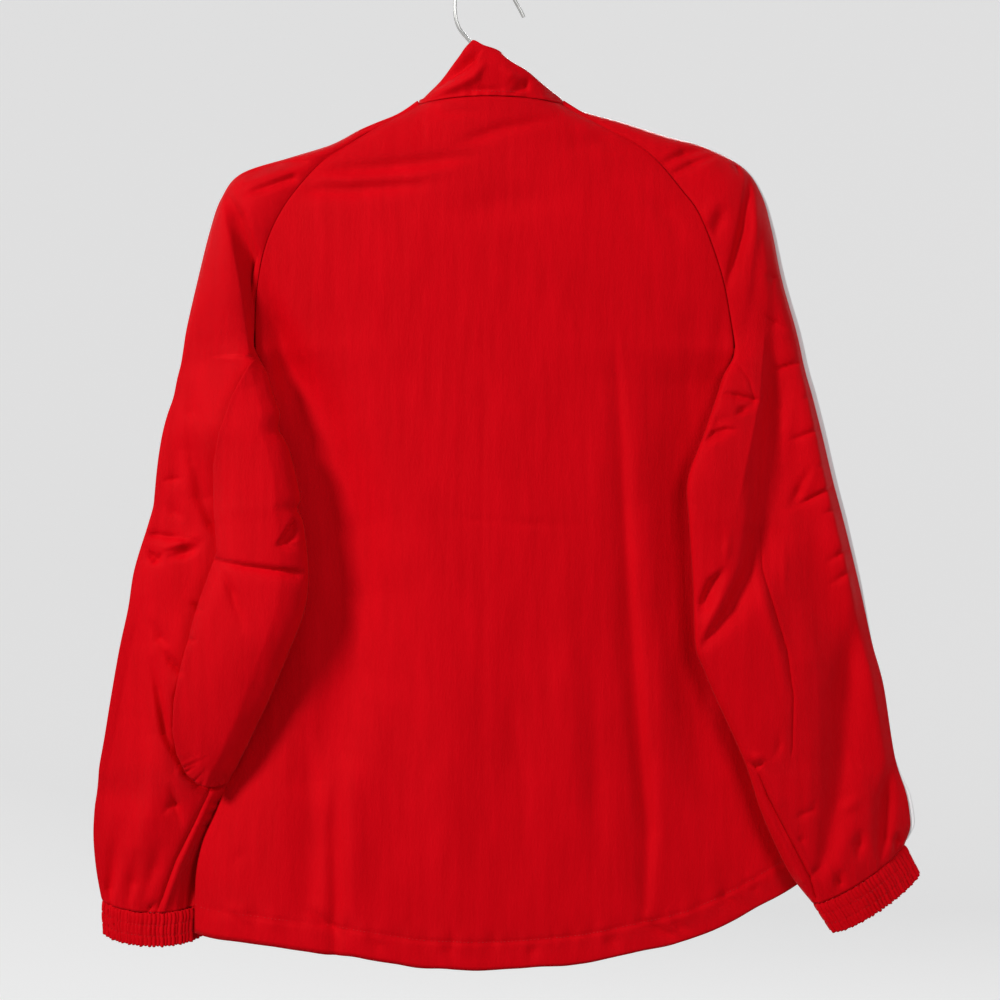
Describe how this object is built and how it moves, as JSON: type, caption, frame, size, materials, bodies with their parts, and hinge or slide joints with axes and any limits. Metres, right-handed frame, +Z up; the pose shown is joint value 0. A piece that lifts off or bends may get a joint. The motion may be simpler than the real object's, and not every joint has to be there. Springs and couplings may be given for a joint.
{
  "type": "windbreaker on a wire hanger",
  "caption": "Lightweight raglan windbreaker with a stand collar, gathered cuffs and a closed front zip, hanging from a plain wire hanger by its hook",
  "frame": {"origin": "the inside top of the hanger's hook, where it sits on a rail", "axes": "+Z up, -Y the way the jacket's back faces, +Y the way its zipped front faces, +X to the right as seen from behind"},
  "size_m": [0.6592, 0.0781, 0.7942],
  "materials": {
    "red_nylon": "thin crinkled nylon with a soft sheen",
    "white_tape": "smooth knitted tape",
    "zip_tape": "woven tape",
    "zip_teeth": "moulded coil",
    "zip_metal": "plated",
    "bright_wire": "bright galvanised wire"
  },
  "bodies": {
    "jacket": {"back": "red_nylon", "front_left": "red_nylon", "front_right": "red_nylon", "sleeve_left_back": "red_nylon", "sleeve_left_front": "red_nylon", "sleeve_right_back": "red_nylon", "sleeve_right_front": "red_nylon", "cuff_left": "red_nylon", "cuff_right": "red_nylon", "collar": "red_nylon", "stripe_left": "white_tape", "stripe_right": "white_tape", "zip_tape_left": "zip_tape", "zip_tape_right": "zip_tape", "zip_chain": "zip_teeth", "zip_slider": "zip_metal", "hanger": "bright_wire"},
    "pull_tab": {"zip_tab": "zip_metal"}
  },
  "joints": [
    {"name": "pull_tab_swing", "type": "hinge", "parent": "jacket", "child": "pull_tab", "pos_m": [0.0068, 0.02948, -0.1247], "axis": [1, 0, 0], "range_deg": [0, 150]}
  ]
}
